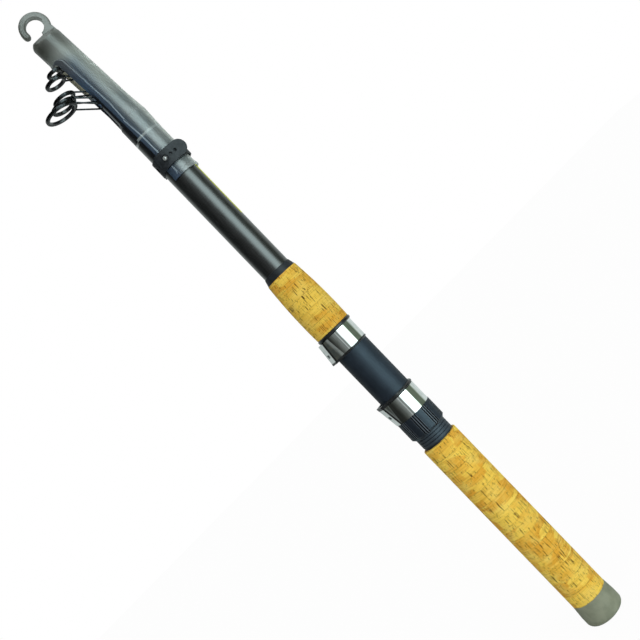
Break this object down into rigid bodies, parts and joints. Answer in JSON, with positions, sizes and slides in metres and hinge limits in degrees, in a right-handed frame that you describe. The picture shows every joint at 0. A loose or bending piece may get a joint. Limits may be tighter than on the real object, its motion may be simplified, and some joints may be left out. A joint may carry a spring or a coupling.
{
  "type": "telescopic fishing rod",
  "caption": "Closed telescopic spinning rod: cork grips, screw-locked reel seat, nested tapered sections with ring guides, and a slotted tip cover with strap and hanging hook.",
  "frame": {"origin": "centre of the butt cap's flat end", "axes": "+Z along the rod from the butt to the tip, -X the side of the line guides and the reel"},
  "size_m": [0.0601, 0.0297, 0.5686],
  "materials": {
    "butt_rubber": "matt olive grey",
    "black_plastic": "satin black",
    "soft_rubber": "matt black foam rubber",
    "carbon_blank": "glossy black lacquer over carbon fibre",
    "bare_aluminium": "turned",
    "cork": "sanded cork rings",
    "seat_plastic": "satin slate black",
    "chrome_shell": "polished",
    "guide_frame": "gunmetal plating",
    "guide_insert": "dark polished ceramic",
    "frosted_cover": "smoke grey, half clear",
    "strap_rubber": "matt dark grey",
    "peg_metal": "satin"
  },
  "bodies": {
    "handle": {"butt_cap": "butt_rubber", "butt_plug": "black_plastic", "plug_cushion": "soft_rubber", "butt_section": "carbon_blank", "mouth_ring": "bare_aluminium", "rear_grip": "cork", "reel_seat": "seat_plastic", "fixed_hood_core": "black_plastic", "fixed_hood_shell": "chrome_shell", "trim_ring": "black_plastic", "fore_grip": "cork", "winding_check": "black_plastic", "strap_band": "strap_rubber", "strap_peg": "peg_metal"},
    "sliding_hood": {"hood_carrier": "black_plastic", "hood_shell": "chrome_shell"},
    "nut": {"locking_nut": "seat_plastic"},
    "section_2": {"section_2": "carbon_blank", "stop_collar": "black_plastic", "guide_2_frame": "guide_frame", "guide_2_ring": "guide_insert"},
    "tab": {"strap_tab": "strap_rubber"},
    "cover": {"tip_cover": "frosted_cover"},
    "section_3": {"section_3": "carbon_blank", "guide_3_frame": "guide_frame", "guide_3_ring": "guide_insert"},
    "section_4": {"section_4": "carbon_blank", "guide_4_frame": "guide_frame", "guide_4_ring": "guide_insert"},
    "section_5": {"section_5": "carbon_blank", "guide_5_frame": "guide_frame", "guide_5_ring": "guide_insert"},
    "section_6": {"section_6": "carbon_blank", "guide_6_frame": "guide_frame", "guide_6_ring": "guide_insert"}
  },
  "joints": [
    {"name": "draw_section_2", "type": "slide", "parent": "handle", "child": "section_2", "axis": [0, 0, 1], "range_m": [0, 0.3835]},
    {"name": "draw_section_3", "type": "slide", "parent": "section_2", "child": "section_3", "axis": [0, 0, 1], "range_m": [0, 0.4195]},
    {"name": "draw_section_4", "type": "slide", "parent": "section_3", "child": "section_4", "axis": [0, 0, 1], "range_m": [0, 0.4245]},
    {"name": "draw_section_5", "type": "slide", "parent": "section_4", "child": "section_5", "axis": [0, 0, 1], "range_m": [0, 0.4295]},
    {"name": "draw_section_6", "type": "slide", "parent": "section_5", "child": "section_6", "axis": [0, 0, 1], "range_m": [0, 0.4435]},
    {"name": "lift_cover", "type": "slide", "parent": "section_6", "child": "cover", "axis": [0, 0, 1], "range_m": [0, 0.125]},
    {"name": "slide_hood", "type": "slide", "parent": "handle", "child": "sliding_hood", "axis": [0, 0, 1], "range_m": [-0.009, 0.006]},
    {"name": "turn_nut", "type": "hinge", "parent": "sliding_hood", "child": "nut", "pos_m": [0, 0, 0.1824], "axis": [0, 0, 1], "range_deg": [-1408, 939]},
    {"name": "open_tab", "type": "hinge", "parent": "handle", "child": "tab", "pos_m": [-0.01139, -0.00865, 0.4285], "axis": [0, 0, -1], "range_deg": [0, 110]}
  ],
  "couplings": [
    {"joint": "slide_hood", "follows": "turn_nut", "m_per_rad": 0.00036606}
  ]
}
